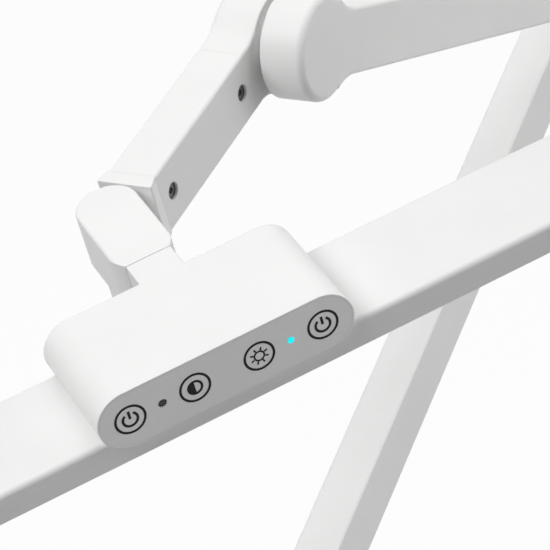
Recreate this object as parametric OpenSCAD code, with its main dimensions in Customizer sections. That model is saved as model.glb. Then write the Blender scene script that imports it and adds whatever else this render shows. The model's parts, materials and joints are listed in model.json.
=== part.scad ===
// Swing-arm treatment lamp: a flat LED bar with a touch control box, carried by a
// short link and two tube arms on a table clamp, shown in its working pose.
// Units are millimetres. +Z is up, +Y runs to the back along the arms and +X is the
// common direction of the arm pivots. The origin lies under the swivel post, on the
// face of the clamp that sits on the table top.

/* [Pose] */
// Slope of the lower arm above level
lower_tilt = 39.5; // [25:0.5:60]
// Slope of the upper arm towards its rear pivot
upper_tilt = -3.2; // [-15:0.1:15]
// Slope of the short link towards its disc pivot
link_tilt = 27.3; // [0:0.1:45]
// Turn of the lamp head on the wrist pin
head_turn = 51.5; // [-80:0.5:80]

/* [Arm tubes] */
// Pivot distance of the lower arm
lower_len = 400; // [300:5:500]
// Pivot distance of the upper arm
upper_len = 331; // [250:1:450]
// Distance from the wrist pin to the disc pivot of the link
link_len = 120.6; // [108:0.2:160]
// Width of the lower arm and the link
tube_w = 20.2; // [18:0.2:24]
// Width of the upper arm and the shoulder disc
upper_w = 18.6; // [17:0.2:22]
// Height of every arm
tube_h = 27; // [24:0.2:30]
// Wall of the arm tubes
tube_wall = 2; // [1.5:0.1:2.5]
// Corner radius of the arm tubes
tube_round = 1.5; // [0.5:0.1:2.5]

/* [Disc pivots] */
// Radius of the outer pivot discs
disc_r = 21.7; // [20:0.1:26]
// Radius of the inner pivot discs
inner_r = 20.4; // [19:0.1:26]
// Rounding of the disc rims on their open faces
rim_round = 3; // [1:0.1:3.5]
// Rounding of the disc rims beside the gap
gap_round = 0.8; // [0.4:0.1:1.2]
// Height of the hub that holds two discs apart
hub_h = 2.9; // [2:0.1:5]
// Land of the hub around the friction washer
hub_land = 1; // [0.5:0.1:2]
// Running gap between two discs
disc_gap = 0.5; // [0.3:0.1:1]
// Radius of the concave blend from an outer disc to its arm
blend_r = 28; // [10:1:32]
// Radius of the concave blend from an inner disc to its arm
inner_blend_r = 16; // [8:1:24]
// Rounding of the blend's edges
blend_round = 2; // [1:0.1:2.5]
// Plain length of an outer disc casting between its blend and the tube
shank_plain = 0.8; // [0.5:0.1:4]
// Plain length of an inner disc casting between its blend and the tube
inner_plain = 4.2; // [0.5:0.1:8]
// Length of the spigot of a casting inside its tube
spigot_len = 18; // [15:1:24]
// Clearance of a spigot in its tube
spigot_fit = 0.1; // [0.05:0.05:0.2]

/* [Pivot hardware] */
// Radius of the pivot bolts
bolt_r = 5; // [4:0.1:5.5]
// Running clearance of pins in their bores
run_fit = 0.05; // [0.03:0.01:0.1]
// Radius of the bolt heads
bolt_head_r = 8.5; // [7.5:0.1:10]
// Thickness of the bolt heads
bolt_head_t = 4; // [3:0.1:5]
// Thickness of the spring washers
spring_t = 1.2; // [0.8:0.1:1.6]
// Radius of the friction washers
friction_r = 15; // [12:0.5:17]
// Depth of the seat of the friction washers
friction_seat = 1; // [0.6:0.1:1.5]
// Thickness of the cover caps
cover_t = 2; // [1.5:0.1:3]
// Rounding of the cover caps
cover_round = 0.4; // [0.2:0.1:0.7]
// Radial clearance of caps and heads in their counterbore
head_fit = 0.3; // [0.2:0.05:0.5]
// Small face clearance between turning pieces
face_gap = 0.1; // [0.05:0.05:0.2]
// Wall left in front of a blind bolt
blind_wall = 3.2; // [2.5:0.1:5]

/* [Fixing screws] */
// Head radius of the fixing screws
screw_head_r = 3.3; // [2.6:0.1:3.6]
// Thickness of the screw heads
screw_head_t = 1; // [0.8:0.1:1.2]
// Shank radius of the fixing screws
screw_r = 1.6; // [1.2:0.1:2]
// Depth of the screws in their casting
screw_depth = 6; // [4:0.5:6.5]
// Distance of a tube screw from the seam it secures
screw_inset = 7.2; // [4:0.1:10]
// Distance of the wrist screw from the seam of the link cap
wrist_screw_inset = 8.2; // [4:0.1:12]
// Width over flats of the screw sockets
socket_w = 2.5; // [2:0.1:3]

/* [Wrist] */
// Clearance of the knuckle's round end in front of the link cap
wrist_clear = 1; // [0.7:0.1:3]
// Length of the link cap in front of the tube
cap_len = 6.3; // [4:0.1:10]
// Length of the straight lip at the front of the link cap
cap_lip = 1; // [0.5:0.1:3]
// Flare of the link cap on each side
cap_flare = 1.4; // [0:0.1:2]
// Radius of the tongue under the knuckle
tongue_r = 8.5; // [7.5:0.1:10]
// Thickness of the tongue
tongue_t = 5; // [4:0.1:6]
// Radius of the wrist pin
wrist_r = 3; // [2.5:0.1:4]
// Head radius of the wrist pin
wrist_head_r = 5; // [4.5:0.1:6]
// Head thickness of the wrist pin
wrist_head_t = 2; // [1.5:0.1:2.5]
// Length of the wrist pin inside the knuckle
wrist_bite = 14; // [10:0.5:17]
// Thickness of the wrist washer
wrist_washer_t = 0.6; // [0.4:0.1:1]
// Radius of the wrist washer
wrist_washer_r = 7; // [5:0.5:7.5]

/* [Knuckle] */
// Radius of the round end of the knuckle
knuckle_r = 12.2; // [11.5:0.1:14]
// Distance from the neck seam to the wrist pin
knuckle_len = 38.4; // [34:0.2:50]
// Length of the neck between the control box and its seam
stub_len = 12.5; // [10:0.5:20]
// Width of the neck at its seam
neck_w = 18; // [16:0.5:21]
// Open seam of the neck
neck_gap = 0.2; // [0.1:0.05:0.4]
// Height of the link's mid-plane below the box's mid-plane
link_drop = 2.5; // [1:0.1:3]
// Distance from the wrist pin to the step under the knuckle
knuckle_relief = 15; // [14:0.5:18]
// Rounding of the knuckle's top edge
knuckle_round = 1.4; // [0.6:0.1:2.5]
// Radius of the flare from the neck to the control box
neck_flare = 6; // [3:0.5:9]
// Radius of the neck bolt
neck_bolt_r = 3; // [2:0.1:4]
// Head radius of the neck bolt
neck_bolt_head_r = 5; // [4.5:0.1:5.2]
// Head thickness of the neck bolt
neck_bolt_head_t = 3; // [2:0.1:4]
// Length of the neck bolt inside the knuckle
neck_bolt_bite = 15; // [8:0.5:18]

/* [Control box] */
// Half the distance between the round ends of the control box
box_half = 38; // [36:0.5:50]
// Radius of the round ends, half the height of the box
box_r = 12; // [11.5:0.1:14]
// Wall of the control box
box_wall = 2; // [1.6:0.1:2.4]
// Thickness of the back of the control box
back_wall = 3; // [2:0.1:4]
// Length of the control box behind the bar
box_lip = 0.2; // [0.1:0.1:5]
// Thickness of the touch panel
panel_t = 2; // [1.5:0.1:2.5]
// Rim of the box around the touch panel
panel_rim = 0.8; // [0.5:0.1:1.2]
// Clearance of the touch panel in the box
panel_fit = 0.02; // [0.01:0.01:0.05]
// Distance between the touch keys
key_pitch = 25.2; // [22:0.1:26]
// Radius of the lit indicator
lens_r = 1.3; // [1:0.05:1.8]
// Radius of the sensor window
sensor_r = 1.7; // [1.2:0.05:2]
// Recess of the sensor behind the panel's face
sensor_recess = 0.8; // [0.4:0.1:1.2]
// Thickness of the circuit boards
board_t = 1.6; // [1:0.1:2]
// Clearance around the circuit boards
board_gap = 4; // [3.6:0.1:8]
// Radius of the posts under the driver board
post_r = 3; // [2.5:0.1:4]
// Height of the posts under the driver board
post_h = 3; // [2.5:0.1:4]
// Radius of the staking pins on the posts
stake_r = 1; // [0.7:0.1:1.5]
// Radius of the lead hole from the box into the bar
lead_hole_r = 3; // [2:0.1:5]

/* [LED bar] */
// Length of the LED bar without its end caps
bar_len = 560; // [400:10:800]
// Depth of the LED bar
bar_w = 47; // [40:0.5:60]
// Thickness of the LED bar
bar_t = 12; // [11:0.1:14]
// Wall of the LED bar
bar_wall = 1.6; // [1.2:0.1:2.2]
// Rounding of the bar's top edges
bar_round = 2.2; // [1:0.1:2.6]
// Wall of the box between the touch panel and the front of the bar
front_lip = 0.8; // [0.5:0.1:2]
// Distance from the box's mid-plane down to the top of the bar
bar_drop = 7.4; // [7:0.1:8]
// Thickness of the diffuser
diffuser_t = 2; // [1.5:0.1:2.5]
// Height of the diffuser above the lower edge of the bar
diffuser_up = 0.6; // [0.4:0.1:1]
// Depth of the grooves that hold the diffuser
groove_w = 1; // [0.6:0.1:1.2]
// Thickness of the bar's end caps
bar_cap_t = 3; // [2:0.1:5]
// Length of the end cap's tenon inside the bar
tenon_len = 8; // [5:0.5:12]
// Width of the screw ribs inside the bar
rib_w = 5; // [4:0.1:6]
// Height of the screw ribs inside the bar
rib_h = 4; // [3.5:0.1:5]
// Radius of the end cap screws
cap_screw_r = 1.2; // [0.8:0.1:1.4]
// Head radius of the end cap screws
cap_screw_head_r = 2; // [1.8:0.1:2.4]
// Head thickness of the end cap screws
cap_screw_head_t = 1.2; // [0.8:0.1:1.5]
// Length of the end cap screws inside the bar
cap_screw_bite = 10; // [6:0.5:16]
// Thickness of the LED board
strip_t = 1.2; // [0.8:0.1:1.6]
// Bare width of the channel beside the LED board
strip_side = 7; // [2:0.5:8]
// Number of LED packages in a row
led_count = 28; // [10:1:40]
// Size of the LED packages
led_size = 2.8; // [2:0.1:3.5]
// Thickness of the LED packages
led_t = 0.7; // [0.5:0.1:1]
// Distance from the end of the bar to the first LED package
led_margin = 20; // [15:1:40]

/* [Base and clamp] */
// Width of the clamp
clamp_w = 46; // [40:1:60]
// Thickness of the clamp's plates
clamp_t = 9; // [7:0.5:12]
// Reach of the clamp in front of the post
clamp_front = 26; // [22:1:40]
// Distance from the post to the inside of the clamp's spine
clamp_throat = 30; // [24:1:45]
// Opening between the upper jaw and the lower jaw
clamp_open = 78; // [76:1:100]
// Thickness of the rubber pad under the upper jaw
jaw_pad_t = 2; // [1:0.5:4]
// Distance from the table face down to the pressure pad
pad_at = 30; // [20:1:34]
// Radius of the swivel spigot
spigot_r = 8; // [6:0.1:9]
// Outer radius of the socket on the clamp
socket_r = 17; // [15:0.5:19]
// Height of the socket above the upper jaw
socket_h = 33; // [25:1:40]
// Radius of the fillet around the socket
socket_fillet = 5; // [2:0.5:6]
// Wall of the swivel bush
bush_wall = 2; // [1.5:0.1:3]
// Height of the round collar under the shoulder
collar_h = 11; // [8:0.5:20]
// Radius of the fillet above the collar
collar_fillet = 6; // [3:0.5:7]
// Length of the swivel spigot above the collar
spigot_over = 6; // [3:0.5:10]
// Radius of the power inlet
inlet_r = 4; // [3:0.1:5]
// Depth of the power inlet
inlet_depth = 11; // [8:0.5:12]
// Wall of the power inlet
inlet_wall = 1.2; // [0.8:0.1:1.4]
// Radius of the contact pin in the power inlet
inlet_pin_r = 1; // [0.6:0.1:1.2]
// Material above and below the power inlet
inlet_margin = 1.4; // [1:0.1:4]
// Radius of the clamp screw
clamp_screw_r = 6; // [5:0.1:7]
// Radius of the boss under the lower jaw
boss_r = 14; // [10:0.5:16]
// Height of the boss under the lower jaw
boss_drop = 8; // [5:0.5:15]
// Radius of the pressure pad
press_pad_r = 16; // [12:0.5:18]
// Thickness of the pressure pad
press_t = 6; // [5:0.5:9]
// Thickness of the rubber cover on the pressure pad
cover_pad_t = 1.5; // [1:0.1:3]
// Length of the screw tip inside the pressure pad
screw_tip = 2; // [1:0.1:3]
// Radius of the clamp knob
knob_r = 20; // [16:0.5:24]
// Height of the clamp knob
knob_h = 20; // [15:0.5:26]
// Rounding of the clamp knob
knob_round = 2; // [1:0.1:4]
// Radius of the grip scallops of the clamp knob
scallop_r = 6; // [4:0.1:7]
// Number of grip scallops
scallop_count = 8; // [5:1:9]

/* [Hidden] */
$fn = 64;
white = "#f1f1f0";
steel = "#b9bcc0";
black_steel = "#47474a";
dark = "#2b2d30";
eps = 0.01;

// Side-by-side arms: the lower arm and the link share one plane, the upper arm another
arm_shift = tube_w / 2 + hub_h + disc_gap + upper_w / 2;
blend_y = sqrt(pow(disc_r + blend_r, 2) - pow(tube_h / 2 + blend_r, 2));
inner_blend_y = sqrt(pow(inner_r + inner_blend_r, 2) - pow(tube_h / 2 + inner_blend_r, 2));
flush_shank = blend_y + shank_plain;
inner_shank = inner_blend_y + inner_plain;

// Heights of the base, from the table face up
jaw_top = jaw_pad_t + clamp_t;
socket_top = jaw_top + socket_h;
socket_floor = jaw_top + bush_wall;
bush_r = spigot_r + run_fit + bush_wall;
bush_flange_r = socket_r - 1;
collar_low = socket_top + bush_wall + face_gap;
collar_top = collar_low + collar_h;
spigot_top = collar_top + spigot_over;
inlet_z = spigot_top + inlet_margin + inlet_r;
shoulder_z = inlet_z + inlet_r + inlet_margin + blend_y;

// Clamp below the table face
jaw_low = -clamp_open - clamp_t;
boss_low = jaw_low - boss_drop;
press_low = -pad_at - cover_pad_t - press_t;
tip_r = 0.7 * clamp_screw_r;
pad_rest = 4;
knob_clear = 1;
knob_top = boss_low - (pad_at - pad_rest) - knob_clear;
knob_low = knob_top - knob_h;
knob_web = 4;
scallop_at = knob_r + 0.7 * scallop_r;
pad_edge = 2;
pad_corner = 3;

// Places of the pivots
elbow_y = lower_len * cos(lower_tilt);
elbow_z = shoulder_z + lower_len * sin(lower_tilt);
front_y = elbow_y - upper_len * cos(upper_tilt);
front_z = elbow_z - upper_len * sin(upper_tilt);
wrist_y = front_y - link_len * cos(link_tilt);
wrist_z = front_z - link_len * sin(link_tilt);

inner_h = tube_h - 2 * tube_wall;
inner_round = max(tube_round - tube_wall, 0.3);
hub_face = tube_w / 2 + hub_h;
hub_r = friction_r + hub_land;

// Stack of a pivot along its axis, measured from the mid-plane of the inner disc
cover_in = -tube_w / 2 + cover_t;
head_lo = cover_in + head_fit;
head_hi = head_lo + bolt_head_t;
spring_hi = head_hi + face_gap + spring_t;
bore_r = bolt_r + run_fit;
counter_r = bolt_head_r + head_fit;
outer_lo = hub_face + disc_gap;
bolt_hi = outer_lo + upper_w - blind_wall;

// Lengths along the link and the head
cap_front = knuckle_r + wrist_clear;
cap_seam = cap_front + cap_len;
bar_setback = panel_t + front_lip;
box_depth = bar_setback + bar_w + box_lip;
neck_seam = box_depth + stub_len;
neck_reach = neck_seam + knuckle_len;

// Screws in the arms, as distances from the pivot, and their sockets
inner_screw_at = inner_shank + screw_inset;
flush_screw_at = flush_shank + screw_inset;
link_screw_ys = [cap_seam + wrist_screw_inset, link_len - inner_screw_at];
head_hole_r = screw_head_r + head_fit / 2;
tip_clear = 0.5;
screw_socket = 0.7 * screw_head_t;
bolt_socket_d = 1.4 * bolt_r;
bolt_socket = 0.6 * bolt_head_t;

// Wrist stack in the frame of the link
cap_bottom = -tube_h / 2;
tongue_top = cap_bottom + tongue_t;
barrel_low = tongue_top + face_gap;
barrel_low_head = barrel_low - link_drop;
neck_low = cap_bottom - link_drop;

bar_y = bar_setback + bar_w / 2;
bar_top = -bar_drop;
bar_low = bar_top - bar_t;
cavity_floor = bar_top + box_wall;
cavity_top = box_r - box_wall;
stub_end = neck_seam - neck_gap / 2;
neck_bolt_seat = box_depth - back_wall;
neck_bolt_end = neck_seam + neck_bolt_bite;

// Boards and fixings inside the control box
board_low = cavity_floor + post_h;
board_from = panel_t + board_t + board_gap;
board_to = neck_bolt_seat - neck_bolt_head_t - 1;
post_x = box_half - 1.3 * post_r;
post_inset = 6;
box_screw_x = 18;
box_screw_dy = 14;
box_screw_head_t = 1.8;
coil_r = 6;
coil_h = 5;
coil_at = [-18, 26];
chip = [12, 9, 4];
chip_at = [14, 20];

// Inside of the LED bar
channel_w = bar_w - 2 * bar_wall;
slot_w = channel_w + 2 * groove_w;
diffuser_low = bar_low + diffuser_up;
tenon_low = diffuser_low + diffuser_t;
strip_low = bar_top - bar_wall - strip_t;
strip_w = channel_w - 2 * strip_side;
strip_short = 4;
led_row = strip_w / 3;
led_pitch = (bar_len - 2 * led_margin) / (led_count - 1);
tenon_free = 1;
tenon_h = strip_low - led_t - tenon_low - tenon_free;
tenon_w = channel_w - 2 * rib_w - 2 * tenon_free;

// Rounded rectangle about the origin
module rounded_rect(w, h, r) {
    square([w - 2 * r, h], center = true);
    square([w, h - 2 * r], center = true);
    for (sx = [-1, 1], sy = [-1, 1])
        translate([sx * (w / 2 - r), sy * (h / 2 - r)]) circle(r);
}

// Long rounded shape with half circles at both ends
module stadium(half, r) {
    square([2 * half, 2 * r], center = true);
    for (s = [-1, 1]) translate([s * half, 0]) circle(r);
}

// Sweeps a Y-Z outline along +X
module along_x(from, len) {
    translate([from, 0, 0]) rotate([90, 0, 90]) linear_extrude(len) children();
}

// Sweeps an X-Z outline along +Y
module along_y(from, len) {
    translate([0, from + len, 0]) rotate([90, 0, 0]) linear_extrude(len) children();
}

// Round rod along +X
module rod_x(from, to, r) {
    translate([from, 0, 0]) rotate([0, 90, 0]) cylinder(h = to - from, r = r);
}

// Flat ring along +X
module ring_x(from, to, r, bore) {
    difference() {
        rod_x(from, to, r);
        rod_x(from - 1, to + 1, bore);
    }
}

// Round rod along +Y
module rod_y(from, to, r) {
    translate([0, from, 0]) rotate([-90, 0, 0]) cylinder(h = to - from, r = r);
}

// Round rod along +Z
module rod_z(from, to, r) {
    translate([0, 0, from]) cylinder(h = to - from, r = r);
}

// Disc along +X with a rounded rim at each face
module rim_disc(from, to, r, low_edge, high_edge) {
    rotate([0, 90, 0]) rotate_extrude() {
        translate([0, from]) square([r - low_edge, low_edge + eps]);
        translate([0, from + low_edge]) square([r, to - from - low_edge - high_edge]);
        translate([0, to - high_edge - eps]) square([r - high_edge, high_edge + eps]);
        translate([r - low_edge, from + low_edge]) circle(low_edge);
        translate([r - high_edge, to - high_edge]) circle(high_edge);
    }
}

// Half outline from the middle of a disc to its arm along +Y, up to the centre of a blend
module blend_wedge(end_y, blend) {
    polygon([[0, 0], [end_y, 0], [end_y, -tube_h / 2 - blend]]);
}

// Round cut about the axis of a blend, wider at the faces to round their edges
module blend_cut(from, to, blend, low_edge, high_edge) {
    rotate([0, 90, 0]) rotate_extrude() {
        translate([0, from - 1]) square([blend, to - from + 2]);
        difference() {
            translate([blend - eps, from - 1]) square([low_edge + eps, low_edge + 1]);
            translate([blend + low_edge, from + low_edge]) circle(low_edge);
        }
        difference() {
            translate([blend - eps, to - high_edge]) square([high_edge + eps, high_edge + 1]);
            translate([blend + high_edge, to - high_edge]) circle(high_edge);
        }
    }
}

// Concave blends between a disc and the arm that leaves it along +Y
module disc_blend(from, to, end_y, blend, low_edge, high_edge) {
    for (s = [0, 1]) mirror([0, 0, s]) difference() {
        along_x(from, to - from) blend_wedge(end_y, blend);
        translate([0, end_y, -tube_h / 2 - blend]) blend_cut(from, to, blend, low_edge, high_edge);
    }
}

// Frames of the moving groups
module at_lower() { translate([-arm_shift, 0, shoulder_z]) rotate([lower_tilt, 0, 0]) children(); }
module at_elbow() { translate([-arm_shift, elbow_y, elbow_z]) rotate([upper_tilt, 0, 0]) children(); }
module at_upper() { translate([0, front_y, front_z]) rotate([upper_tilt, 0, 0]) children(); }
module at_front() { translate([-arm_shift, front_y, front_z]) rotate([upper_tilt, 0, 0]) children(); }
module at_link() { translate([-arm_shift, wrist_y, wrist_z]) rotate([link_tilt, 0, 0]) children(); }
module at_head() { at_link() rotate([0, 0, head_turn]) translate([0, -neck_reach, link_drop]) children(); }

// Hollow arm tube along +Y, with screw holes through the sides listed in holes
module arm_tube(w, from, to, holes, sides) {
    difference() {
        along_y(from, to - from) rounded_rect(w, tube_h, tube_round);
        along_y(from - 1, to - from + 2)
            rounded_rect(w - 2 * tube_wall, inner_h, inner_round);
        for (y = holes, s = sides) translate([0, y, 0])
            rod_x(s > 0 ? 0 : -w, s > 0 ? w : 0, head_hole_r);
    }
}

// One sunk socket screw in the side of a tube of width w
module side_screw(w, side) {
    seat = w / 2 - tube_wall;
    mirror([side > 0 ? 0 : 1, 0, 0]) difference() {
        union() {
            rod_x(seat, seat + screw_head_t, screw_head_r);
            rod_x(seat - screw_depth, seat + eps, screw_r);
        }
        translate([seat + screw_head_t - screw_socket, 0, 0]) rotate([0, 90, 0])
            cylinder(h = screw_head_t, d = socket_w / cos(30), $fn = 6);
    }
}

// Spigot of a casting inside a tube of width w, with threaded screw holes
module casting_spigot(w, from, hole_at, sides) {
    difference() {
        along_y(from - eps, spigot_len + eps)
            rounded_rect(w - 2 * tube_wall - 2 * spigot_fit, inner_h - 2 * spigot_fit, inner_round);
        for (s = sides) translate([0, hole_at, 0]) mirror([s > 0 ? 0 : 1, 0, 0])
            rod_x(w / 2 - tube_wall - screw_depth - tip_clear, w, screw_r + run_fit);
    }
}

// Inner disc casting: hub on its +X face, counterbored from behind, arm along +Y
module inner_end(sides) {
    difference() {
        union() {
            rim_disc(-tube_w / 2, tube_w / 2, inner_r, rim_round, gap_round);
            rod_x(tube_w / 2 - eps, hub_face, hub_r);
            along_y(0, inner_shank) rounded_rect(tube_w, tube_h, tube_round);
            disc_blend(-tube_w / 2, tube_w / 2, inner_blend_y, inner_blend_r, blend_round, tube_round);
            casting_spigot(tube_w, inner_shank, inner_screw_at, sides);
        }
        rod_x(-tube_w, hub_face + 1, bore_r);
        rod_x(-tube_w, spring_hi, counter_r);
    }
}

// Outer disc casting: flush on both faces, blind bolt bore from -X, arm along +Y
module flush_disc() {
    rim_disc(-upper_w / 2, upper_w / 2, disc_r, gap_round, rim_round);
    disc_blend(-upper_w / 2, upper_w / 2, blend_y, blend_r, tube_round, blend_round);
}

module flush_bores() {
    rod_x(-upper_w, upper_w / 2 - blind_wall + eps, bolt_r);
    rod_x(-upper_w, -upper_w / 2 + friction_seat, friction_r + head_fit / 2);
}

module flush_end() {
    difference() {
        union() {
            flush_disc();
            along_y(0, flush_shank) rounded_rect(upper_w, tube_h, tube_round);
            casting_spigot(upper_w, flush_shank, flush_screw_at, [-1]);
        }
        flush_bores();
    }
}

// Pivot hardware, in the frame of the inner disc
module pivot_bolt() {
    color(steel) difference() {
        union() {
            rod_x(head_lo, head_hi, bolt_head_r);
            rod_x(head_hi - eps, bolt_hi, bolt_r);
        }
        translate([head_lo - 1, 0, 0]) rotate([0, 90, 0])
            cylinder(h = 1 + bolt_socket, d = bolt_socket_d, $fn = 6);
    }
}

module pivot_spring() {
    color(steel) ring_x(head_hi + face_gap / 2, spring_hi - face_gap / 2, bolt_head_r, bolt_r + head_fit);
}

module pivot_friction() {
    color(dark) ring_x(hub_face + face_gap, outer_lo + friction_seat, friction_r, bolt_r + head_fit);
}

module pivot_cover() {
    color(white) rim_disc(-tube_w / 2, cover_in, counter_r - run_fit, cover_round, cover_round);
}

// Base and clamp
module jaw_pad() {
    color(dark) linear_extrude(jaw_pad_t) translate([0, (clamp_throat - clamp_front) / 2])
        rounded_rect(clamp_w - 2 * pad_edge, clamp_throat + clamp_front - 2 * pad_edge, pad_corner);
}

// Side outline of the C-shaped clamp in the Y-Z plane, its outer corners rounded
module clamp_outline() {
    translate([-clamp_front, jaw_pad_t]) square([clamp_front + clamp_throat, clamp_t]);
    translate([clamp_throat, -clamp_open]) square([clamp_t, clamp_open + jaw_pad_t]);
    translate([-boss_r, jaw_low]) square([boss_r + clamp_throat, clamp_t]);
    for (s = [0, 1]) translate([clamp_throat, s > 0 ? jaw_pad_t : -clamp_open]) mirror([0, 1 - s])
        intersection() {
            circle(clamp_t);
            square(clamp_t);
        }
}

// Concave fillet of radius r around a round post
module post_fillet(post, r) {
    rotate_extrude() difference() {
        square([post + r, r]);
        translate([post + r, r]) circle(r);
    }
}

module clamp_frame() {
    color(white) difference() {
        union() {
            along_x(-clamp_w / 2, clamp_w) clamp_outline();
            rod_z(jaw_top - eps, socket_top, socket_r);
            translate([0, 0, jaw_top]) post_fillet(socket_r, socket_fillet);
            rod_z(boss_low, -clamp_open - eps, boss_r);
        }
        rod_z(socket_floor, socket_top + 1, bush_r);
        rod_z(boss_low - 1, -clamp_open + 1, clamp_screw_r + run_fit);
    }
}

module swivel_bush() {
    color(dark) difference() {
        union() {
            rod_z(socket_floor, socket_top, bush_r);
            rod_z(socket_top, socket_top + bush_wall, bush_flange_r);
        }
        rod_z(socket_floor + bush_wall, socket_top + bush_wall + 1, spigot_r + run_fit);
    }
}

module pressure_pad() {
    color(steel) difference() {
        rod_z(press_low, press_low + press_t, press_pad_r);
        rod_z(press_low - 1, press_low + screw_tip + face_gap, tip_r + run_fit);
    }
}

module pad_cover() {
    color(dark) rod_z(press_low + press_t, -pad_at, press_pad_r - tip_clear);
}

module clamp_screw() {
    color(steel) {
        rod_z(knob_low + knob_web, press_low - face_gap, clamp_screw_r);
        rod_z(press_low - face_gap - eps, press_low + screw_tip, tip_r);
    }
}

// Hand knob with scalloped grips
module clamp_knob() {
    color(white) difference() {
        translate([0, 0, knob_low]) rotate_extrude() {
            square([knob_r - knob_round, knob_h]);
            translate([0, knob_round]) square([knob_r, knob_h - 2 * knob_round]);
            for (z = [knob_round, knob_h - knob_round]) translate([knob_r - knob_round, z])
                circle(knob_round);
        }
        for (i = [1 : scallop_count]) rotate(i * 360 / scallop_count) translate([scallop_at, 0, 0])
            rod_z(knob_low - 1, knob_top + 1, scallop_r);
        rod_z(knob_low + knob_web, knob_top + 1, clamp_screw_r);
    }
}

module swivel_spigot() {
    color(steel) rod_z(socket_floor + bush_wall + face_gap, spigot_top, spigot_r);
}

// Shoulder: a round collar on the post, a stem and the outer disc of the first pivot
module shoulder_block() {
    color(white) difference() {
        union() {
            rod_z(collar_low, collar_top, socket_r);
            translate([0, 0, collar_top]) post_fillet(socket_r - collar_fillet, collar_fillet);
            translate([0, 0, shoulder_z]) rotate([-90, 0, 0]) flush_disc();
            translate([0, 0, collar_top - eps]) linear_extrude(shoulder_z - collar_top)
                rounded_rect(upper_w, tube_h, tube_round);
        }
        translate([0, 0, shoulder_z]) flush_bores();
        rod_z(collar_low - 1, spigot_top, spigot_r);
        translate([0, 0, inlet_z]) rod_y(tube_h / 2 - inlet_depth, tube_h, inlet_r + run_fit);
    }
}

// Round low-voltage socket in the back of the shoulder
module power_inlet() {
    mouth = tube_h / 2;
    floor_y = mouth - inlet_depth + inlet_wall;
    color(dark) translate([0, 0, inlet_z]) {
        difference() {
            rod_y(mouth - inlet_depth, mouth, inlet_r);
            rod_y(floor_y, mouth + 1, inlet_r - inlet_wall);
        }
        rod_y(floor_y - eps, mouth - inlet_wall, inlet_pin_r);
    }
}

module shoulder_bolt() { translate([-arm_shift, 0, shoulder_z]) pivot_bolt(); }
module shoulder_spring_washer() { translate([-arm_shift, 0, shoulder_z]) pivot_spring(); }
module shoulder_friction_washer() { translate([-arm_shift, 0, shoulder_z]) pivot_friction(); }
module shoulder_cover() { at_lower() pivot_cover(); }

// Lower arm
module lower_arm_tube() {
    color(white) at_lower() arm_tube(tube_w, inner_shank, lower_len - inner_shank,
        [inner_screw_at, lower_len - inner_screw_at], [-1]);
}
module lower_arm_foot() { color(white) at_lower() inner_end([-1]); }
module lower_arm_head() {
    color(white) at_lower() translate([0, lower_len, 0]) mirror([0, 1, 0]) inner_end([-1]);
}
module lower_arm_screws() {
    color(black_steel) at_lower() for (y = [inner_screw_at, lower_len - inner_screw_at])
        translate([0, y, 0]) side_screw(tube_w, -1);
}

module elbow_bolt() { at_elbow() pivot_bolt(); }
module elbow_spring_washer() { at_elbow() pivot_spring(); }
module elbow_friction_washer() { at_elbow() pivot_friction(); }
module elbow_cover() { at_lower() translate([0, lower_len, 0]) pivot_cover(); }

// Upper arm
module upper_arm_tube() {
    color(white) at_upper() arm_tube(upper_w, flush_shank, upper_len - flush_shank,
        [flush_screw_at, upper_len - flush_screw_at], [-1]);
}
module upper_arm_front() { color(white) at_upper() flush_end(); }
module upper_arm_rear() {
    color(white) at_upper() translate([0, upper_len, 0]) mirror([0, 1, 0]) flush_end();
}
module upper_arm_screws() {
    color(black_steel) at_upper() for (y = [flush_screw_at, upper_len - flush_screw_at])
        translate([0, y, 0]) side_screw(upper_w, -1);
}

module link_bolt() { at_front() pivot_bolt(); }
module link_spring_washer() { at_front() pivot_spring(); }
module link_friction_washer() { at_front() pivot_friction(); }
module link_cover() { at_link() translate([0, link_len, 0]) pivot_cover(); }

// Link
module link_tube() {
    color(white) at_link() arm_tube(tube_w, cap_seam, link_len - inner_shank, link_screw_ys, [-1, 1]);
}
module link_disc_end() {
    color(white) at_link() translate([0, link_len, 0]) mirror([0, 1, 0]) inner_end([-1, 1]);
}
module link_screws() {
    color(black_steel) at_link() for (y = link_screw_ys, s = [-1, 1]) translate([0, y, 0])
        side_screw(tube_w, s);
}

// Flared end cap of the link with the tongue that the knuckle turns on
module link_cap() {
    half = tube_w / 2;
    wide = half + cap_flare;
    color(white) at_link() difference() {
        union() {
            translate([0, 0, cap_bottom]) linear_extrude(tube_h) polygon([
                [-half, cap_seam], [half, cap_seam], [wide, cap_front + cap_lip], [wide, cap_front],
                [-wide, cap_front], [-wide, cap_front + cap_lip]]);
            translate([0, 0, cap_bottom]) linear_extrude(tongue_t) {
                circle(tongue_r);
                translate([-tongue_r, 0]) square([2 * tongue_r, cap_front + eps]);
            }
            casting_spigot(tube_w, cap_seam, link_screw_ys[0], [-1, 1]);
        }
        rod_z(cap_bottom - 1, tongue_top + 1, wrist_r + run_fit);
        rod_z(cap_bottom - 1, cap_bottom + wrist_head_t + face_gap, wrist_head_r + head_fit);
        rod_z(tongue_top - wrist_washer_t, tongue_top + 1, wrist_washer_r + head_fit);
    }
}

// Wrist hardware, in the frame of the link
module wrist_pin() {
    color(steel) at_link() {
        rod_z(cap_bottom, cap_bottom + wrist_head_t, wrist_head_r);
        rod_z(cap_bottom + wrist_head_t - eps, barrel_low + wrist_bite, wrist_r);
    }
}
module wrist_washer() {
    color(dark) at_link() difference() {
        rod_z(tongue_top - wrist_washer_t, tongue_top, wrist_washer_r);
        rod_z(tongue_top - wrist_washer_t - 1, tongue_top + 1, wrist_r + head_fit);
    }
}

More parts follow.
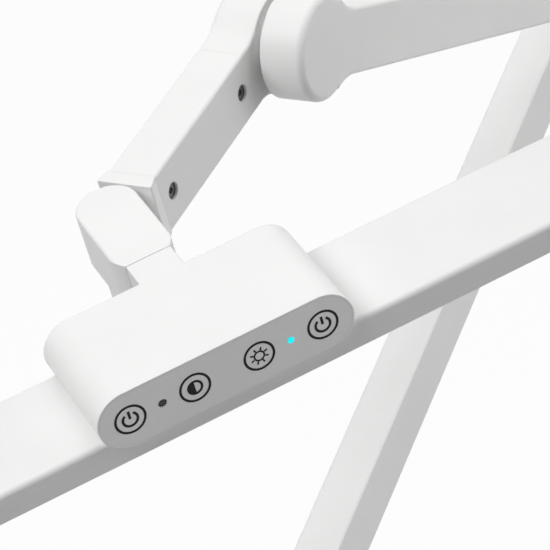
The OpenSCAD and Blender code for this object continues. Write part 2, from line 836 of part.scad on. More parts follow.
// Knuckle plan: the neck narrows to its seam and ends round at the wrist pin
module knuckle_plan() {
    start = neck_seam + neck_gap / 2;
    corner = knuckle_r - neck_w / 2;
    translate([-neck_w / 2, start]) square([neck_w, corner + 1]);
    translate([-knuckle_r, start + corner]) square([2 * knuckle_r, neck_reach - start - corner]);
    for (s = [-1, 1]) translate([s * neck_w / 2, start + corner]) circle(corner);
}

// Outline across the knuckle in the X-Z plane, its top edges rounded
module knuckle_section() {
    side = knuckle_r - knuckle_round;
    translate([-knuckle_r, neck_low]) square([2 * knuckle_r, box_r - knuckle_round - neck_low]);
    translate([-side, neck_low]) square([2 * side, box_r - neck_low]);
    for (s = [-1, 1]) translate([s * side, box_r - knuckle_round]) circle(knuckle_round);
}

module knuckle() {
    color(white) at_head() difference() {
        union() {
            translate([0, neck_reach, 0]) rotate_extrude() intersection() {
                knuckle_section();
                translate([0, barrel_low_head]) square([knuckle_r, box_r - barrel_low_head]);
            }
            intersection() {
                translate([0, 0, neck_low]) linear_extrude(box_r - neck_low) knuckle_plan();
                along_y(neck_seam, knuckle_len) knuckle_section();
            }
        }
        translate([-knuckle_r - 1, neck_reach - knuckle_relief, neck_low - 1])
            cube([2 * knuckle_r + 2, knuckle_relief + knuckle_r, barrel_low_head - neck_low + 1]);
        translate([0, neck_reach, 0]) rod_z(barrel_low_head - 1, barrel_low_head + wrist_bite + eps, wrist_r);
        rod_y(neck_seam - 1, neck_bolt_end, neck_bolt_r);
    }
}

// Bolt through the back of the control box into the knuckle
module neck_bolt() {
    color(steel) at_head() {
        rod_y(neck_bolt_seat - neck_bolt_head_t, neck_bolt_seat, neck_bolt_head_r);
        rod_y(neck_bolt_seat - eps, neck_bolt_end - eps, neck_bolt_r);
    }
}

// Outline of the LED bar in the Y-Z plane, with rounded top edges
module bar_outline(grow) {
    w = bar_w + 2 * grow;
    translate([bar_y - w / 2, bar_low - grow]) square([w, bar_t + 2 * grow - bar_round]);
    translate([bar_y - w / 2 + bar_round, bar_low]) square([w - 2 * bar_round, bar_t + grow]);
    for (s = [-1, 1]) translate([bar_y + s * (w / 2 - bar_round), bar_top + grow - bar_round])
        circle(bar_round);
}

// Plan of the neck between the control box and its seam
module stub_plan() {
    translate([-neck_w / 2, box_depth - eps]) square([neck_w, stub_end - box_depth + eps]);
    for (s = [0, 1]) mirror([s, 0]) translate([neck_w / 2 - eps, box_depth - eps]) difference() {
        square([neck_flare, neck_flare]);
        translate([neck_flare, neck_flare]) circle(neck_flare);
    }
}

module box_screw_places() {
    for (sx = [-1, 1], sy = [-1, 1]) translate([sx * box_screw_x, bar_y + sy * box_screw_dy, 0]) children();
}

module post_places() {
    for (sx = [-1, 1], y = [board_from + post_inset, board_to - post_inset])
        translate([sx * post_x, y, 0]) children();
}

// Shell of the control box, saddled over the bar, with the neck behind it
module control_box() {
    box_end = box_half + box_r;
    color(white) at_head() difference() {
        union() {
            difference() {
                along_y(0, box_depth) stadium(box_half, box_r);
                along_y(-1, panel_t + 1) stadium(box_half, box_r - panel_rim + panel_fit);
                intersection() {
                    along_y(panel_t - eps, neck_bolt_seat - panel_t + eps) stadium(box_half, cavity_top);
                    translate([-box_end, 0, cavity_floor]) cube([2 * box_end, box_depth, 2 * box_r]);
                }
                along_x(-box_end - 1, 2 * box_end + 2) {
                    bar_outline(run_fit);
                    translate([bar_y, bar_low]) square([bar_w, bar_t + run_fit]);
                }
            }
            translate([0, 0, -box_r]) linear_extrude(2 * box_r) stub_plan();
            post_places() {
                rod_z(cavity_floor - eps, board_low, post_r);
                rod_z(board_low - eps, board_low + board_t, stake_r);
            }
        }
        rod_y(neck_bolt_seat - 1, stub_end + 1, neck_bolt_r + run_fit);
        box_screw_places() rod_z(bar_top - 1, cavity_floor + 1, screw_r + run_fit);
        translate([0, bar_y, 0]) rod_z(bar_top - 1, cavity_floor + 1, lead_hole_r);
    }
}

// Touch panel with a lens hole and a sensor hole between its keys
module touch_panel() {
    color(white) at_head() difference() {
        along_y(0, panel_t) stadium(box_half, box_r - panel_rim);
        translate([key_pitch, 0, 0]) rod_y(-1, panel_t + 1, lens_r + run_fit);
        translate([-key_pitch, 0, 0]) rod_y(-1, panel_t + 1, sensor_r + run_fit);
    }
}

module touch_board() {
    color("darkgreen") at_head() along_y(panel_t, board_t) translate([0, (cavity_floor + cavity_top) / 2])
        square([2 * box_half, cavity_top - cavity_floor - 1], center = true);
}

// Driver board staked to its posts, with a coil and a chip
module driver_board() {
    color("darkgreen") at_head() difference() {
        union() {
            translate([-box_half, board_from, board_low])
                cube([2 * box_half, board_to - board_from, board_t]);
            translate([coil_at.x, coil_at.y, board_low + board_t - eps]) cylinder(h = coil_h, r = coil_r);
            translate([chip_at.x, chip_at.y, board_low + board_t - eps]) cube(chip);
        }
        post_places() rod_z(board_low - 1, board_low + board_t + 1, stake_r + run_fit);
    }
}

module indicator_lens() {
    color("deepskyblue") at_head() translate([key_pitch, 0, 0]) rod_y(0, panel_t, lens_r);
}
module sensor_window() {
    color(dark) at_head() translate([-key_pitch, 0, 0]) rod_y(sensor_recess, panel_t, sensor_r);
}

// Screws from the box floor into the bar
module box_screws() {
    color(steel) at_head() box_screw_places() {
        rod_z(cavity_floor, cavity_floor + box_screw_head_t, screw_head_r);
        rod_z(bar_top - bar_wall, cavity_floor + eps, screw_r);
    }
}

module cap_screw_places() {
    for (s = [-1, 1]) translate([0, bar_y + s * (channel_w - rib_w) / 2, bar_top - bar_wall - rib_h / 2])
        children();
}

// Extruded channel of the LED bar, open below, with a groove for the diffuser
module bar_housing() {
    color(white) at_head() difference() {
        along_x(-bar_len / 2, bar_len) {
            difference() {
                bar_outline(0);
                translate([bar_y - channel_w / 2, bar_low - 1]) square([channel_w, bar_t - bar_wall + 1]);
                translate([bar_y - slot_w / 2, diffuser_low]) square([slot_w, diffuser_t]);
            }
            for (s = [-1, 1]) translate([bar_y + s * (channel_w - rib_w) / 2, bar_top - bar_wall - rib_h / 2])
                square([rib_w + 2 * eps, rib_h + 2 * eps], center = true);
        }
        for (m = [0, 1]) mirror([m, 0, 0]) cap_screw_places()
            rod_x(bar_len / 2 - cap_screw_bite - eps, bar_len / 2 + 1, cap_screw_r);
        box_screw_places() rod_z(bar_low, bar_top + 1, screw_r + run_fit);
        translate([0, bar_y, 0]) rod_z(bar_low, bar_top + 1, lead_hole_r);
    }
}

// Long circuit board under the top wall, with two rows of LED packages
module led_board() {
    len = bar_len - 2 * tenon_len - 2 * strip_short;
    color("gold") at_head() {
        translate([-len / 2, bar_y - strip_w / 2, strip_low]) cube([len, strip_w, strip_t]);
        for (i = [0 : led_count - 1], s = [-1, 1])
            translate([led_margin - bar_len / 2 + i * led_pitch, bar_y + s * led_row, strip_low - led_t / 2])
                cube([led_size, led_size, led_t + eps], center = true);
    }
}

module diffuser() {
    w = slot_w - 2 * run_fit;
    color("white") at_head() translate([-bar_len / 2, bar_y - w / 2, diffuser_low])
        cube([bar_len, w, diffuser_t - run_fit]);
}

// End cap of the bar: a plate with a tenon above the diffuser
module bar_cap() {
    outer = bar_len / 2 + bar_cap_t;
    difference() {
        union() {
            along_x(bar_len / 2, bar_cap_t) bar_outline(0);
            translate([bar_len / 2 - tenon_len, bar_y - tenon_w / 2, tenon_low])
                cube([tenon_len + eps, tenon_w, tenon_h]);
        }
        cap_screw_places() {
            rod_x(bar_len / 2 - 1, outer + 1, cap_screw_r + run_fit);
            rod_x(outer - cap_screw_head_t, outer + 1, cap_screw_head_r + run_fit);
        }
    }
}
module bar_cap_left() { color(white) at_head() mirror([1, 0, 0]) bar_cap(); }
module bar_cap_right() { color(white) at_head() bar_cap(); }
module bar_cap_screws() {
    outer = bar_len / 2 + bar_cap_t;
    color(steel) at_head() for (m = [0, 1]) mirror([m, 0, 0]) cap_screw_places() {
        rod_x(outer - cap_screw_head_t, outer, cap_screw_head_r);
        rod_x(bar_len / 2 - cap_screw_bite, outer - cap_screw_head_t + eps, cap_screw_r);
    }
}

jaw_pad();
clamp_frame();
swivel_bush();
pressure_pad();
pad_cover();
clamp_screw();
clamp_knob();
swivel_spigot();
shoulder_block();
power_inlet();
shoulder_bolt();
shoulder_spring_washer();
shoulder_friction_washer();
shoulder_cover();
lower_arm_tube();
lower_arm_foot();
lower_arm_head();
lower_arm_screws();
elbow_bolt();
elbow_spring_washer();
elbow_friction_washer();
elbow_cover();
upper_arm_tube();
upper_arm_rear();
upper_arm_front();
upper_arm_screws();
link_bolt();
link_spring_washer();
link_friction_washer();
link_cover();
link_tube();
link_disc_end();
link_cap();
link_screws();
knuckle();
wrist_pin();
wrist_washer();
neck_bolt();
control_box();
touch_panel();
touch_board();
driver_board();
indicator_lens();
sensor_window();
box_screws();
bar_housing();
led_board();
diffuser();
bar_cap_left();
bar_cap_right();
bar_cap_screws();
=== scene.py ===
import json
import math

import bmesh
import bpy
from mathutils import Matrix, Vector
from mathutils.kdtree import KDTree


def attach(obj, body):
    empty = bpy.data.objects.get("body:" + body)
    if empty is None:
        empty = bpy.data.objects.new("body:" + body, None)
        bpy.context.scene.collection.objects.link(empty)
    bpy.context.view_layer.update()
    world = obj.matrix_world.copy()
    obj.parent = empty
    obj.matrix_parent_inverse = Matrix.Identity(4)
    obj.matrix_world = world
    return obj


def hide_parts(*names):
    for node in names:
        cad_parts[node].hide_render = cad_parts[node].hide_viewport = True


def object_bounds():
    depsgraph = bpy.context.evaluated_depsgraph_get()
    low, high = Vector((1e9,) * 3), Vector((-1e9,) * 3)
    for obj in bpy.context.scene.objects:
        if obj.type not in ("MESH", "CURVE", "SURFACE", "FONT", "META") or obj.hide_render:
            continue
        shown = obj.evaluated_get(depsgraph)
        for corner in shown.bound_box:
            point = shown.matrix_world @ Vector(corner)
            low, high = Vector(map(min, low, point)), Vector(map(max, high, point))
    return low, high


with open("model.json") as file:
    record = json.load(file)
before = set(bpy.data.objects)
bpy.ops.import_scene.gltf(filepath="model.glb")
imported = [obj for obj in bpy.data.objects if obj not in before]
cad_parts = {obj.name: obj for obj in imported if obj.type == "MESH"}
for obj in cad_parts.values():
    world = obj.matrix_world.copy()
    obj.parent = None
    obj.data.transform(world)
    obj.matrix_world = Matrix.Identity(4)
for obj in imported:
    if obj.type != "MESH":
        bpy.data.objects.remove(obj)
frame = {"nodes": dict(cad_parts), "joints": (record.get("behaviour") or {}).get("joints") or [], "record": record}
cad_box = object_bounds()
nodes = frame["nodes"]
joints = {j["name"]: j for j in frame["joints"]}

# Sizes of the head and the base that the added pieces sit on, in metres
NECK_REACH = 0.1009
LINK_DROP = 0.0025
HEAD_TURN = math.radians(51.5)
KEY_PITCH = 0.0252
SENSOR_RECESS = 0.0008
SENSOR_R = 0.0016
SENSOR_RISE = 0.0004
PRINT_T = 0.00005
SCREW_R = 0.006
SCREW_LOW = -0.138
SCREW_TOP = -0.0376
SCREW_PITCH = 0.003
SCREW_DROP = 0.034
THREAD_DEPTH = 0.0007
TIP_R = 0.0042
TIP_TOP = -0.0355
BOX_DEPTH = 0.050
NECK_SEAM = 0.0625
NECK_HALF = 0.009
KNUCKLE_HALF = 0.0122

# Cuts at the neck in metres, and the least cosine at which a face takes over an old normal
SHAVE = 0.00002
CUT_REACH = 0.03
WELD = 1e-6
SAME_PLACE = 2e-6
ALIKE = 0.85
NECK_TURN_R = 0.0188
NECK_TURN_X = -0.00645
NECK_TURN = math.radians(37)


def head_matrix():
    """Frame of the lamp head: origin in the middle of the panel's face, X along the bar, Z up."""
    wrist = joints["wrist_turn"]
    axis = Vector(wrist["axis"])
    tilt = math.atan2(-axis.y, axis.z)
    turn = Matrix.Rotation(tilt, 4, "X") @ Matrix.Rotation(HEAD_TURN, 4, "Z")
    return Matrix.Translation(wrist["pos_m"]) @ turn @ Matrix.Translation((0, -NECK_REACH, LINK_DROP))


HEAD = head_matrix()


# Camera, placed in the frame of the lamp head
CAMERA_PLACE = (-0.201535, -0.816826, 0.699308)
CAMERA_FORWARD = (0.2107, 0.7559, -0.6198)
CAMERA_RIGHT = (0.8787, -0.4242, -0.2187)
FILM_MM = 36.0
LENS_MM = 206.59
FAR_END = 100.0


def make_camera():
    forward = Vector(CAMERA_FORWARD).normalized()
    up = Vector(CAMERA_RIGHT).cross(forward).normalized()
    right = forward.cross(up)
    data = bpy.data.cameras.new("camera")
    data.sensor_width = FILM_MM
    data.lens = LENS_MM
    data.clip_end = FAR_END
    cam = bpy.data.objects.new("camera", data)
    turn = Matrix((right, up, -forward)).transposed().to_4x4()
    cam.matrix_world = HEAD @ Matrix.Translation(CAMERA_PLACE) @ turn
    bpy.context.scene.collection.objects.link(cam)
    bpy.context.scene.camera = cam


make_camera()


# Materials
class Maker:
    """A material with its Principled shader, and short calls to add and join nodes."""

    def __init__(self, name):
        self.mat = bpy.data.materials.new(name)
        self.mat.use_nodes = True
        self.tree = self.mat.node_tree
        self.bsdf = self.tree.nodes["Principled BSDF"]
        self.coord = self.tree.nodes.new("ShaderNodeTexCoord")

    def node(self, kind, **values):
        made = self.tree.nodes.new(kind)
        for key, value in values.items():
            if key in made.inputs:
                made.inputs[key].default_value = value
            else:
                setattr(made, key, value)
        return made

    def join(self, out, into):
        self.tree.links.new(out, into)

    def set(self, **values):
        for key, value in values.items():
            self.bsdf.inputs[key.replace("_", " ")].default_value = value

    def noise(self, scale, detail=2.0, stretch=(1, 1, 1)):
        """Noise over the piece's own coordinates, scale in cycles per metre."""
        place = self.node("ShaderNodeMapping")
        place.inputs["Scale"].default_value = stretch
        self.join(self.coord.outputs["Object"], place.inputs["Vector"])
        made = self.node("ShaderNodeTexNoise", Scale=scale, Detail=detail)
        self.join(place.outputs["Vector"], made.inputs["Vector"])
        return made.outputs["Fac"]

    def ramp(self, fac, low, high, start=0.3, end=0.7):
        made = self.node("ShaderNodeValToRGB")
        made.color_ramp.elements[0].position = start
        made.color_ramp.elements[1].position = end
        made.color_ramp.elements[0].color = (*low, 1)
        made.color_ramp.elements[1].color = (*high, 1)
        self.join(fac, made.inputs["Fac"])
        return made.outputs["Color"]

    def spread(self, fac, low, high):
        made = self.node("ShaderNodeMapRange")
        made.inputs["To Min"].default_value = low
        made.inputs["To Max"].default_value = high
        self.join(fac, made.inputs["Value"])
        return made.outputs["Result"]

    def relief(self, fac, depth, edge=0.0):
        """Fine bump of a depth in metres, over edges softened to a radius."""
        bump = self.node("ShaderNodeBump", Distance=depth)
        self.join(fac, bump.inputs["Height"])
        if edge > 0:
            soft = self.node("ShaderNodeBevel", samples=6, Radius=edge)
            self.join(soft.outputs["Normal"], bump.inputs["Normal"])
        self.join(bump.outputs["Normal"], self.bsdf.inputs["Normal"])


def coated(name, colour, rough, grain, depth, edge=0.0):
    """Satin white coat or moulded plastic: cloudy tone, uneven gloss and a fine grain."""
    m = Maker(name)
    dim = tuple(c * 0.965 for c in colour)
    cloud = m.noise(26.0, 3.0)
    gloss = m.noise(140.0, 3.0)
    m.join(m.ramp(cloud, dim, colour), m.bsdf.inputs["Base Color"])
    m.join(m.spread(gloss, rough - 0.05, rough + 0.06), m.bsdf.inputs["Roughness"])
    m.relief(m.noise(grain, 3.0), depth, edge)
    m.set(Specular_IOR_Level=0.35)
    return m.mat


def metal(name, colour, rough):
    """Steel with fine turning lines across its length."""
    m = Maker(name)
    stretch = (1, 1, 6)
    dark = tuple(c * 0.72 for c in colour)
    brush = m.noise(900.0, 4.0, stretch)
    gloss = m.noise(2600.0, 2.0, stretch)
    m.join(m.ramp(brush, dark, colour), m.bsdf.inputs["Base Color"])
    m.join(m.spread(gloss, rough - 0.08, rough + 0.1), m.bsdf.inputs["Roughness"])
    m.relief(brush, depth=0.00002, edge=0.0002)
    m.set(Metallic=1.0)
    return m.mat


def black_mould(name, colour, rough, grain, depth):
    """Black plastic, rubber or glass: faint clouds, uneven gloss and a moulded grain."""
    m = Maker(name)
    lift = tuple(c * 1.7 + 0.004 for c in colour)
    cloud = m.noise(320.0, 3.0)
    gloss = m.noise(900.0, 2.0)
    m.join(m.ramp(cloud, colour, lift), m.bsdf.inputs["Base Color"])
    m.join(m.spread(gloss, rough - 0.06, rough + 0.08), m.bsdf.inputs["Roughness"])
    m.relief(m.noise(grain, 2.0), depth, edge=0.0002)
    return m.mat


def circuit():
    """Green board with lighter traces between dark fields."""
    m = Maker("circuit_board")
    trace = m.node("ShaderNodeTexVoronoi", Scale=420.0, distance="CHEBYCHEV", feature="DISTANCE_TO_EDGE")
    m.join(m.coord.outputs["Object"], trace.inputs["Vector"])
    green = m.ramp(trace.outputs["Distance"], (0.16, 0.36, 0.17), (0.03, 0.17, 0.07), start=0.05, end=0.12)
    m.join(green, m.bsdf.inputs["Base Color"])
    m.relief(trace.outputs["Distance"], depth=0.00003)
    m.set(Roughness=0.38)
    return m.mat


def led_strip():
    """Warm white board of the LEDs, with a fine grain."""
    m = Maker("led_strip")
    grain = m.noise(1200.0, 2.0)
    m.join(m.ramp(grain, (0.80, 0.77, 0.62), (0.86, 0.84, 0.74)), m.bsdf.inputs["Base Color"])
    m.relief(grain, depth=0.00002)
    m.set(Roughness=0.42)
    return m.mat


def opal():
    """Milky cover with fine ribs, which lets light soak in."""
    m = Maker("opal")
    haze = m.noise(60.0, 3.0)
    m.join(m.ramp(haze, (0.84, 0.84, 0.82), (0.88, 0.88, 0.865)), m.bsdf.inputs["Base Color"])
    m.relief(m.noise(2400.0, 1.0, stretch=(1, 6, 1)), depth=0.00003)
    m.set(Roughness=0.32, Subsurface_Weight=0.25, Subsurface_Scale=0.004, Subsurface_Radius=(1.0, 1.0, 0.9))
    return m.mat


def lit_lens():
    """Lit indicator lens, which keeps its colour under white light."""
    m = Maker("lens_blue")
    shine = m.noise(900.0, 2.0)
    m.join(m.ramp(shine, (0.0, 0.80, 0.94), (0.02, 0.90, 1.0)), m.bsdf.inputs["Emission Color"])
    m.set(Base_Color=(0.0, 0.16, 0.2, 1), Roughness=0.2, Specular_IOR_Level=0.08)
    m.set(Emission_Strength=1.0)
    return m.mat


def ink():
    """Matt black print of the key marks."""
    m = Maker("key_print")
    patch = m.noise(2500.0, 2.0)
    m.join(m.ramp(patch, (0.006, 0.006, 0.007), (0.014, 0.014, 0.015)), m.bsdf.inputs["Base Color"])
    m.join(m.spread(patch, 0.42, 0.55), m.bsdf.inputs["Roughness"])
    m.set(Specular_IOR_Level=0.15)
    return m.mat


WHITE = (0.86, 0.86, 0.855)
BAR_WHITE = (0.83, 0.83, 0.826)
MATERIALS = {
    "arm_white": coated("arm_white", WHITE, rough=0.44, grain=1500.0, depth=0.00003, edge=0.0005),
    "clamp_white": coated("clamp_white", WHITE, rough=0.46, grain=1300.0, depth=0.00005, edge=0.0006),
    "box_white": coated("box_white", WHITE, rough=0.46, grain=2300.0, depth=0.00002, edge=0.0006),
    "panel_white": coated("panel_white", WHITE, rough=0.40, grain=2300.0, depth=0.00001),
    "bar_white": coated("bar_white", BAR_WHITE, rough=0.44, grain=1500.0, depth=0.00002, edge=0.0004),
    "knob_white": coated("knob_white", WHITE, rough=0.48, grain=2300.0, depth=0.00003, edge=0.0004),
    "opal": opal(),
    "led_strip": led_strip(),
    "circuit_board": circuit(),
    "steel": metal("steel", (0.62, 0.62, 0.63), rough=0.30),
    "black_steel": metal("black_steel", (0.14, 0.14, 0.145), rough=0.30),
    "black_plastic": black_mould("black_plastic", (0.012, 0.012, 0.014), rough=0.42, grain=1800.0,
                                 depth=0.00003),
    "rubber": black_mould("rubber", (0.016, 0.016, 0.016), rough=0.72, grain=900.0, depth=0.00008),
    "lens_blue": lit_lens(),
}
INK = ink()
SENSOR_GLASS = black_mould("sensor_glass", (0.003, 0.003, 0.004), rough=0.16, grain=1800.0, depth=0.00001)

for part in frame["record"]["subparts"]:
    obj = nodes[part["node"]]
    obj.data.materials.clear()
    obj.data.materials.append(MATERIALS[part["material_slot"]])


# Added pieces
def new_piece(name, bm, material, body, place=Matrix()):
    """Object from a bmesh, moved to its place and the body that it rides on."""
    mesh = bpy.data.meshes.new(name)
    bmesh.ops.recalc_face_normals(bm, faces=bm.faces)
    bm.to_mesh(mesh)
    bm.free()
    obj = bpy.data.objects.new(name, mesh)
    mesh.materials.append(material)
    mesh.transform(place)
    bpy.context.scene.collection.objects.link(obj)
    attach(obj, body)
    return obj


def turned(r, steps):
    """Points (x, y) round a circle."""
    angles = [2 * math.pi * k / steps for k in range(steps)]
    return [(r * math.cos(a), r * math.sin(a)) for a in angles]


def skin(bm, rings):
    """Faces from each closed ring of vertices to the next."""
    for lower, upper in zip(rings, rings[1:]):
        for k in range(len(lower)):
            after = (k + 1) % len(lower)
            bm.faces.new((lower[k], lower[after], upper[after], upper[k]))


# Printed key marks
RING_R = 0.0056
POWER_R = 0.0028
POWER_STEM = (0.0002, 0.0036)
SUN_R = 0.0019
SUN_RAY = (0.0023, 0.0036)
SUN_RAYS = 8
MODE_R = 0.0026
MODE_FILL = (0.0012, 0.0023)
FINE = 0.00065
LINE = 0.00095
BOLD = 0.001


def raised(bm, outer, inner):
    """Closed strip of print between two rows of (x, z) points, standing on the panel's face."""
    rows = []
    for points, y in ((outer, 0.0), (inner, 0.0), (inner, -PRINT_T), (outer, -PRINT_T)):
        rows.append([bm.verts.new((x, y, z)) for x, z in points])
    count = len(outer)
    for i in range(count - 1):
        for a, b in ((0, 1), (1, 2), (2, 3), (3, 0)):
            bm.faces.new((rows[a][i], rows[a][i + 1], rows[b][i + 1], rows[b][i]))
    if outer[0] != outer[-1]:
        for i in (0, count - 1):
            bm.faces.new([row[i] for row in rows])


def arc(bm, cx, cz, radius, line, start, end, steps):
    """Arc of print; angles in degrees from +X towards +Z."""
    angles = [math.radians(start + (end - start) * i / steps) for i in range(steps + 1)]
    rows = []
    for r in (radius + line / 2, radius - line / 2):
        rows.append([(cx + r * math.cos(a), cz + r * math.sin(a)) for a in angles])
    if abs(end - start) >= 360:
        for row in rows:
            row[-1] = row[0]
    raised(bm, rows[0], rows[1])


def stroke(bm, a, b, line):
    """Straight stroke of print between two (x, z) points."""
    ax, az = a
    bx, bz = b
    length = math.hypot(bx - ax, bz - az)
    nx = -(bz - az) / length * line / 2
    nz = (bx - ax) / length * line / 2
    raised(bm, [(ax + nx, az + nz), (bx + nx, bz + nz)], [(ax - nx, az - nz), (bx - nx, bz - nz)])


def key_ring(bm, x):
    arc(bm, x, 0, RING_R, LINE, 0, 360, 72)


def power_mark(bm, x):
    low, high = POWER_STEM
    arc(bm, x, 0, POWER_R, BOLD, 125, 415, 48)
    stroke(bm, (x, low), (x, high), BOLD)


def sun_mark(bm, x):
    near, far = SUN_RAY
    arc(bm, x, 0, SUN_R, FINE, 0, 360, 40)
    for i in range(SUN_RAYS):
        a = 2 * math.pi * (i + 0.5) / SUN_RAYS
        start = (x + near * math.cos(a), near * math.sin(a))
        end = (x + far * math.cos(a), far * math.sin(a))
        stroke(bm, start, end, FINE)


def mode_mark(bm, x):
    arc(bm, x, 0, MODE_R, LINE, 0, 360, 48)
    arc(bm, x, 0, *MODE_FILL, 90, 270, 24)


def make_keys():
    places = (-1.5 * KEY_PITCH, -0.5 * KEY_PITCH, 0.5 * KEY_PITCH, 1.5 * KEY_PITCH)
    marks = (power_mark, mode_mark, sun_mark, power_mark)
    names = ("key_power_left", "key_mode", "key_brightness", "key_power_right")
    for x, mark, name in zip(places, marks, names):
        bm = bmesh.new()
        key_ring(bm, x)
        mark(bm, x)
        new_piece(name, bm, INK, "head", HEAD)


make_keys()


# Sensor
def make_sensor_dome():
    """Domed black lens of the sensor, standing on the window inside its hole."""
    bm = bmesh.new()
    steps = 6
    rings = []
    for i in range(steps):
        a = math.radians(90 * i / steps)
        y = SENSOR_RECESS - SENSOR_RISE * math.sin(a)
        rings.append([bm.verts.new((x - KEY_PITCH, y, z)) for x, z in turned(SENSOR_R * math.cos(a), 32)])
    skin(bm, rings)
    tip = bm.verts.new((-KEY_PITCH, SENSOR_RECESS - SENSOR_RISE, 0))
    last = rings[-1]
    for a, b in zip(last, last[1:] + last[:1]):
        bm.faces.new((a, b, tip))
    bm.faces.new(rings[0])
    dome = new_piece("sensor_dome", bm, SENSOR_GLASS, "head", HEAD)
    for face in dome.data.polygons:
        face.use_smooth = len(face.vertices) < 5


make_sensor_dome()


# Clamp screw
def make_clamp_thread():
    """Threaded clamp screw with a plain tip, inside the outline of the plain CAD rod."""
    steps = 40
    per_turn = 10
    flank = 0.4
    flat_depth = 1.2
    length = SCREW_TOP - SCREW_LOW
    count = round(length / SCREW_PITCH * per_turn)
    bm = bmesh.new()
    rings = []
    for i in range(count + 1):
        along = length * i / count
        ring = []
        for k, (x, y) in enumerate(turned(1.0, steps)):
            phase = (along / SCREW_PITCH - k / steps) % 1.0
            groove = max(0.0, 1.0 - abs(phase - 0.5) / flank)
            r = SCREW_R - THREAD_DEPTH * min(1.0, flat_depth * groove)
            ring.append(bm.verts.new((r * x, r * y, SCREW_LOW + along)))
        rings.append(ring)
    for z in (SCREW_TOP, TIP_TOP):
        rings.append([bm.verts.new((x, y, z)) for x, y in turned(TIP_R, steps)])
    skin(bm, rings)
    bm.faces.new(rings[0])
    bm.faces.new(rings[-1])
    thread = new_piece("clamp_thread", bm, MATERIALS["steel"], "screw")
    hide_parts("clamp_screw")


make_clamp_thread()


# Neck, whose sides the CAD solids leave a little too full
def prism(outline):
    """Tall closed prism over an outline of (x, y) points in the head's frame, to cut with."""
    bm = bmesh.new()
    rows = [[bm.verts.new((x, y, z)) for x, y in outline] for z in (-CUT_REACH, CUT_REACH)]
    skin(bm, rows)
    for row in rows:
        bm.faces.new(row)
    bmesh.ops.recalc_face_normals(bm, faces=bm.faces)
    mesh = bpy.data.meshes.new("cutter")
    bm.to_mesh(mesh)
    bm.free()
    mesh.transform(HEAD)
    tool = bpy.data.objects.new("cutter", mesh)
    bpy.context.scene.collection.objects.link(tool)
    return tool


def keep_normals(mesh, source):
    """Shade a cut mesh as its source is shaded, and the faces that the cut made flat."""
    corners = KDTree(len(source.loops))
    for corner in source.loops:
        corners.insert(source.vertices[corner.vertex_index].co, corner.index)
    corners.balance()
    normals = []
    for face in mesh.polygons:
        face.use_smooth = True
        for vertex in face.vertices:
            same = corners.find_range(mesh.vertices[vertex].co, SAME_PLACE)
            choice = [source.corner_normals[index].vector.copy() for _, index, _ in same]
            best = max(choice, key=face.normal.dot, default=face.normal)
            normals.append(best if best.dot(face.normal) > ALIKE else face.normal.copy())
    mesh.normals_split_custom_set(normals)


def trimmed(name, node, slot, outline):
    """Copy of a CAD node of the head with an outline cut off on both sides; it stands for the node."""
    bm = bmesh.new()
    bm.from_mesh(nodes[node].data)
    bmesh.ops.remove_doubles(bm, verts=bm.verts, dist=WELD)
    piece = new_piece(name, bm, MATERIALS[slot], "head")
    tools = [prism([(side * x, y) for x, y in outline]) for side in (1, -1)]
    for tool in tools:
        cut = piece.modifiers.new("cut", "BOOLEAN")
        cut.operation = "DIFFERENCE"
        cut.solver = "EXACT"
        cut.object = tool
    graph = bpy.context.evaluated_depsgraph_get()
    done = bpy.data.meshes.new_from_object(piece.evaluated_get(graph))
    piece.modifiers.clear()
    piece.data = done
    for tool in tools:
        bpy.data.objects.remove(tool)
    keep_normals(done, nodes[node].data)
    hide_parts(node)


def make_neck():
    """Square corners where the neck meets the box, and a gentle narrowing of the knuckle to the seam."""
    wide = 2 * KNUCKLE_HALF
    side = NECK_HALF - SHAVE
    back = BOX_DEPTH + SHAVE
    seam = NECK_SEAM + SHAVE
    flare = [(side, back), (wide, back), (wide, seam), (side, seam)]
    trimmed("box_shell", "control_box", "box_white", flare)
    mid_y = NECK_SEAM + math.sqrt(NECK_TURN_R ** 2 - (NECK_HALF - NECK_TURN_X) ** 2)
    steps = 24
    rounded = []
    for i in range(steps + 1):
        a = NECK_TURN * i / steps
        rounded.append((NECK_TURN_X + NECK_TURN_R * math.cos(a), mid_y - NECK_TURN_R * math.sin(a)))
    trimmed("neck_knuckle", "knuckle", "arm_white", rounded + [(wide, rounded[-1][1]), (wide, mid_y)])


make_neck()


# Studio
AIM = (0.0, -0.05, 0.30)
AMBIENT = 0.03
FLOOR_SIZE = 30.0
FLOOR_GAP = 0.0005
FLOOR_GREY = 0.56
FLOOR_WHITE = 0.97


def soft_box(name, place, size, power):
    """Square area light turned to the lamp."""
    data = bpy.data.lights.new(name, "AREA")
    data.shape = "SQUARE"
    data.size = size
    data.energy = power
    lamp = bpy.data.objects.new(name, data)
    lamp.location = place
    aim = Vector(AIM) - Vector(place)
    lamp.rotation_euler = aim.to_track_quat("-Z", "Y").to_euler()
    lamp.visible_camera = False
    bpy.context.scene.collection.objects.link(lamp)


def seen_white(tree):
    """1 where a camera, glossy or transmission ray looks, else 0."""
    path = tree.nodes.new("ShaderNodeLightPath")
    total = path.outputs["Is Camera Ray"]
    for name in ("Is Glossy Ray", "Is Transmission Ray"):
        most = tree.nodes.new("ShaderNodeMath")
        most.operation = "MAXIMUM"
        tree.links.new(total, most.inputs[0])
        tree.links.new(path.outputs[name], most.inputs[1])
        total = most.outputs[0]
    return total


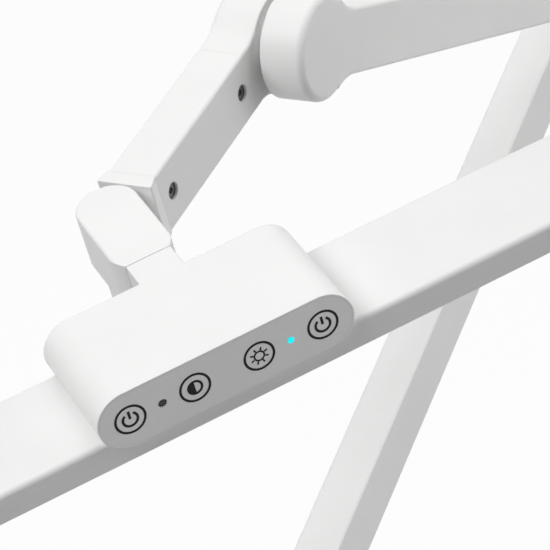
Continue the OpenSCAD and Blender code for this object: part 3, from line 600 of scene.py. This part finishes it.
def make_world():
    """White where it is seen, and a weak light for the rest."""
    world = bpy.data.worlds.new("studio")
    world.use_nodes = True
    tree = world.node_tree
    back = tree.nodes["Background"]
    back.inputs["Color"].default_value = (1, 1, 1, 1)
    level = tree.nodes.new("ShaderNodeMapRange")
    level.inputs["To Min"].default_value = AMBIENT
    level.inputs["To Max"].default_value = 1.0
    tree.links.new(seen_white(tree), level.inputs["Value"])
    tree.links.new(level.outputs["Result"], back.inputs["Strength"])
    bpy.context.scene.world = world


def make_floor():
    """White floor, low enough for the clamp screw at the end of its travel."""
    low = cad_box[0][2] - SCREW_DROP - FLOOR_GAP
    bm = bmesh.new()
    bmesh.ops.create_grid(bm, x_segments=1, y_segments=1, size=FLOOR_SIZE)
    mesh = bpy.data.meshes.new("floor")
    bm.to_mesh(mesh)
    bm.free()
    floor = bpy.data.objects.new("floor", mesh)
    floor.location = (0, 0, low)
    bpy.context.scene.collection.objects.link(floor)
    mat = bpy.data.materials.new("floor")
    mat.use_nodes = True
    tree = mat.node_tree
    tree.nodes.remove(tree.nodes["Principled BSDF"])
    plain = tree.nodes.new("ShaderNodeBsdfDiffuse")
    plain.inputs["Color"].default_value = (FLOOR_GREY, FLOOR_GREY, FLOOR_GREY, 1)
    white = tree.nodes.new("ShaderNodeEmission")
    share = tree.nodes.new("ShaderNodeMapRange")
    share.inputs["To Max"].default_value = FLOOR_WHITE
    mix = tree.nodes.new("ShaderNodeMixShader")
    tree.links.new(seen_white(tree), share.inputs["Value"])
    tree.links.new(share.outputs["Result"], mix.inputs["Fac"])
    tree.links.new(plain.outputs["BSDF"], mix.inputs[1])
    tree.links.new(white.outputs["Emission"], mix.inputs[2])
    tree.links.new(mix.outputs["Shader"], tree.nodes["Material Output"].inputs["Surface"])
    mesh.materials.append(mat)


make_floor()
make_world()
soft_box("overhead", (0.0, -0.25, 2.3), size=2.2, power=24.4)
soft_box("front_left", (-0.55, -1.81, 1.51), size=1.2, power=31.2)
soft_box("right_back", (1.7, 0.75, 1.1), size=1.5, power=15.4)
soft_box("back_right", (1.35, 1.65, 0.95), size=1.5, power=6.6)
bpy.context.scene.view_settings.view_transform = "Standard"
